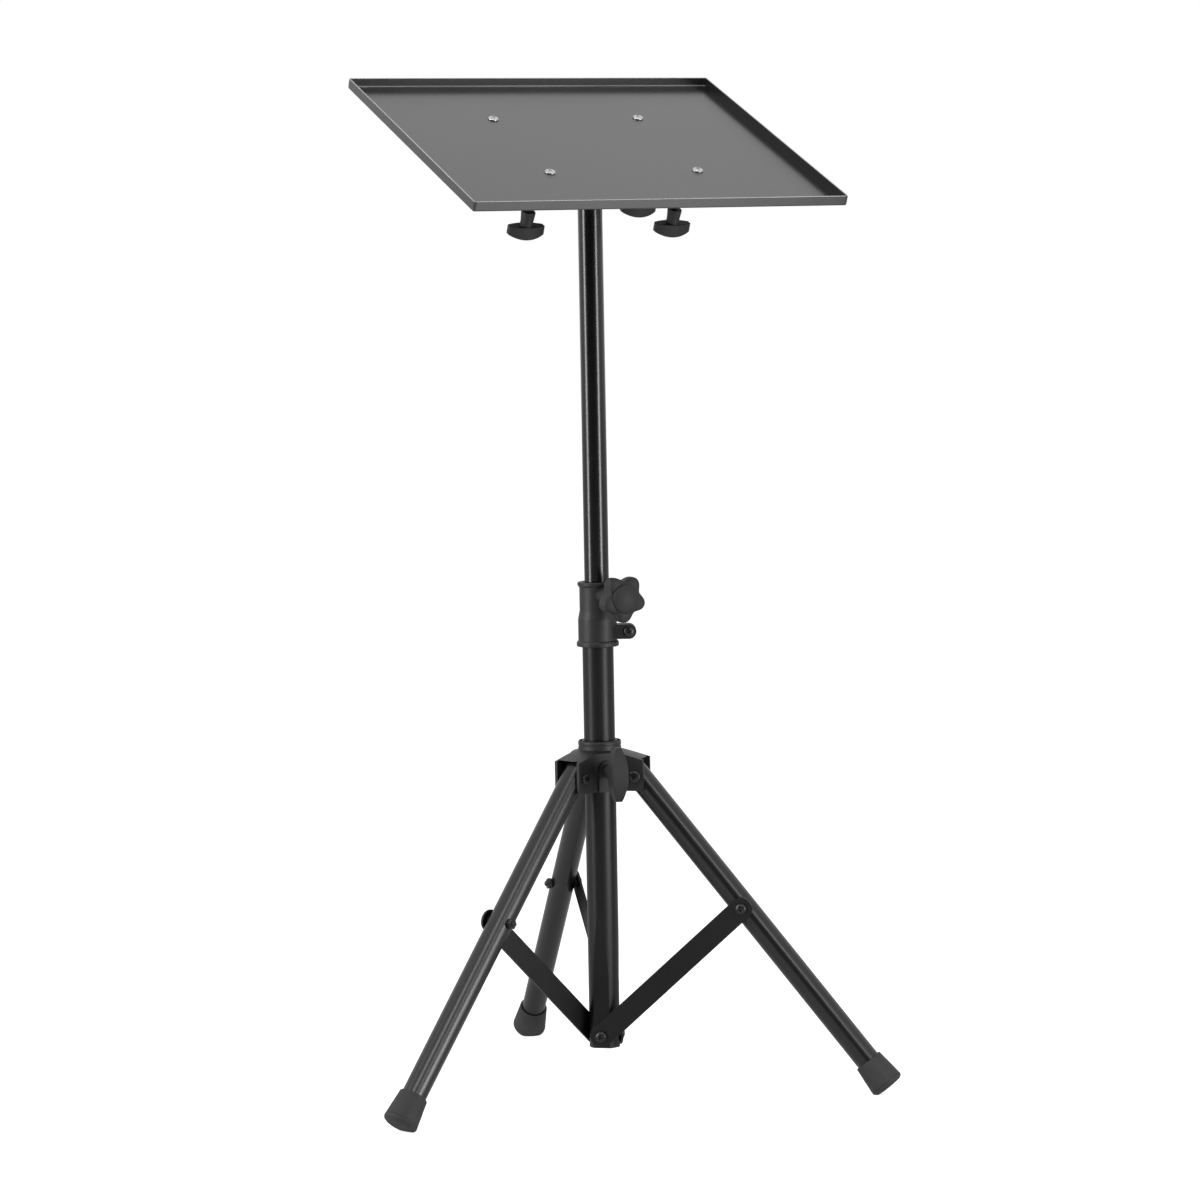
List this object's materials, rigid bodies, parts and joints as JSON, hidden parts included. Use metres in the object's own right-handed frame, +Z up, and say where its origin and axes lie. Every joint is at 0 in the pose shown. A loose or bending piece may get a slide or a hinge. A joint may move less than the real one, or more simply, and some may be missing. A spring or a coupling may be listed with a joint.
{
  "type": "tripod stand with tilting tray",
  "caption": "Folding tripod stand with a telescoping mast and a tilting, lipped tray for a projector or laptop.",
  "frame": {"origin": "on the floor, on the axis of the post", "axes": "+Z up along the post and mast, -Y towards the low front edge of the tray, +X towards the tray's right side"},
  "size_m": [0.468, 0.446, 0.911],
  "materials": {
    "tube_black": "semi-gloss black powder coat",
    "tray_black": "fine-textured matt black powder coat",
    "moulded_black": "moulded black plastic, fine spark texture",
    "grip_black": "moulded black plastic, satin",
    "foot_rubber": "black rubber",
    "black_screw": "black oxide screws",
    "plain_steel": "zinc plated screw heads"
  },
  "bodies": {
    "post": {"post_tube": "tube_black", "post_plug": "moulded_black", "post_collar": "moulded_black", "collar_screw": "black_screw", "star_grip": "grip_black", "brace_screw_1": "black_screw", "brace_screw_2": "black_screw", "brace_screw_3": "black_screw"},
    "hub": {"hub": "moulded_black", "wing_grip": "grip_black", "leg_screw_1": "black_screw", "leg_screw_2": "black_screw", "leg_screw_3": "black_screw"},
    "leg_1": {"leg_tube_1": "tube_black", "foot_1": "foot_rubber", "brace_pin_1": "black_screw"},
    "leg_2": {"leg_tube_2": "tube_black", "foot_2": "foot_rubber", "brace_pin_2": "black_screw"},
    "leg_3": {"leg_tube_3": "tube_black", "foot_3": "foot_rubber", "brace_pin_3": "black_screw"},
    "brace_1": {"brace_1": "tube_black", "brace_bolt_1": "black_screw"},
    "brace_2": {"brace_2": "tube_black", "brace_bolt_2": "black_screw"},
    "brace_3": {"brace_3": "tube_black", "brace_bolt_3": "black_screw"},
    "mast_bush": {"mast_bush": "moulded_black"},
    "mast": {"mast_tube": "tube_black", "mast_head": "moulded_black"},
    "tray": {"yoke_plate": "tube_black", "tilt_bolt": "black_screw", "rail_left": "tube_black", "rail_right": "tube_black", "tray": "tray_black", "tray_screw_1": "plain_steel", "tray_screw_2": "plain_steel", "tray_screw_3": "plain_steel", "tray_screw_4": "plain_steel", "hand_screw_1": "grip_black", "hand_screw_2": "grip_black", "hand_screw_3": "grip_black", "hand_screw_4": "grip_black"}
  },
  "joints": [
    {"name": "hub_slide", "type": "slide", "parent": "post", "child": "hub", "axis": [0, 0, 1], "range_m": [0, 0.08]},
    {"name": "leg_fold_1", "type": "hinge", "parent": "hub", "child": "leg_1", "pos_m": [0.02701, -0.02226, 0.284], "axis": [0.6361, 0.7716, 0], "range_deg": [0, 30.56]},
    {"name": "brace_fold_1", "type": "hinge", "parent": "post", "child": "brace_1", "pos_m": [0, 0, 0.047], "axis": [-0.6361, -0.7716, 0], "range_deg": [0, 28.64]},
    {"name": "leg_fold_2", "type": "hinge", "parent": "hub", "child": "leg_2", "pos_m": [0.00578, 0.03452, 0.284], "axis": [-0.9863, 0.165, 0], "range_deg": [0, 30.56]},
    {"name": "brace_fold_2", "type": "hinge", "parent": "post", "child": "brace_2", "pos_m": [0, 0, 0.047], "axis": [0.9863, -0.165, 0], "range_deg": [0, 28.64]},
    {"name": "leg_fold_3", "type": "hinge", "parent": "hub", "child": "leg_3", "pos_m": [-0.03278, -0.01226, 0.284], "axis": [0.3502, -0.9367, 0], "range_deg": [0, 30.56]},
    {"name": "brace_fold_3", "type": "hinge", "parent": "post", "child": "brace_3", "pos_m": [0, 0, 0.047], "axis": [-0.3502, 0.9367, 0], "range_deg": [0, 28.64]},
    {"name": "mast_slide", "type": "slide", "parent": "post", "child": "mast_bush", "axis": [0, 0, 1], "range_m": [-0.185, 0.03]},
    {"name": "mast_turn", "type": "hinge", "parent": "mast_bush", "child": "mast", "pos_m": [0, 0, 0.5], "axis": [0, 0, 1], "continuous": true},
    {"name": "tray_tilt", "type": "hinge", "parent": "mast", "child": "tray", "pos_m": [0, 0, 0.8175], "axis": [1, 0, 0], "range_deg": [-23, 22]}
  ],
  "couplings": [
    {"joint": "leg_fold_1", "follows": "hub_slide", "rad_per_m": 6.6668},
    {"joint": "brace_fold_1", "follows": "hub_slide", "rad_per_m": 6.247},
    {"joint": "leg_fold_2", "follows": "hub_slide", "rad_per_m": 6.6668},
    {"joint": "brace_fold_2", "follows": "hub_slide", "rad_per_m": 6.247},
    {"joint": "leg_fold_3", "follows": "hub_slide", "rad_per_m": 6.6668},
    {"joint": "brace_fold_3", "follows": "hub_slide", "rad_per_m": 6.247}
  ]
}
